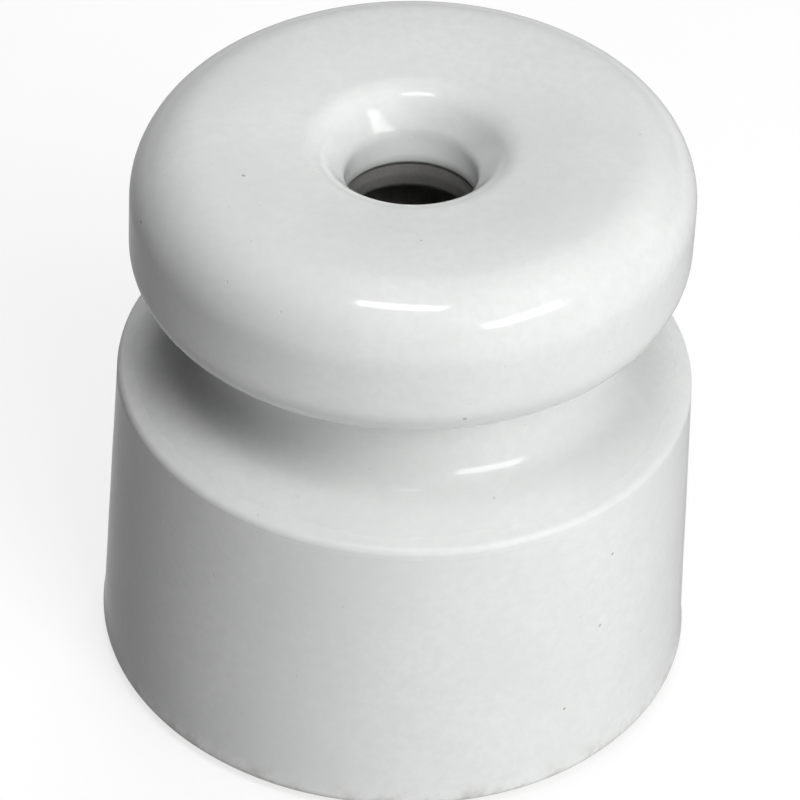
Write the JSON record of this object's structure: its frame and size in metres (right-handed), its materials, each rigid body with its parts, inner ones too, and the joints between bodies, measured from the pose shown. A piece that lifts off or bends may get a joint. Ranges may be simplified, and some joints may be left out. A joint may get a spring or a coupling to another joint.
{
  "type": "fence insulator",
  "caption": "White glazed porcelain knob insulator for a fence wire: drum base, wire groove, round head and a bore for its fixing.",
  "frame": {"origin": "centre of the base, on the centre line of the bore", "axes": "+Z along the bore, from the base that stands on the post to the head; round about Z"},
  "size_m": [0.0418, 0.0418, 0.0427],
  "materials": {
    "unglazed_porcelain": "dry fired porcelain, matte and finely gritty, on the foot and in the bore",
    "white_glaze": "gloss white glaze, very slightly cool"
  },
  "bodies": {
    "root": {"porcelain_body": "unglazed_porcelain", "glaze_coat": "white_glaze"}
  },
  "joints": []
}
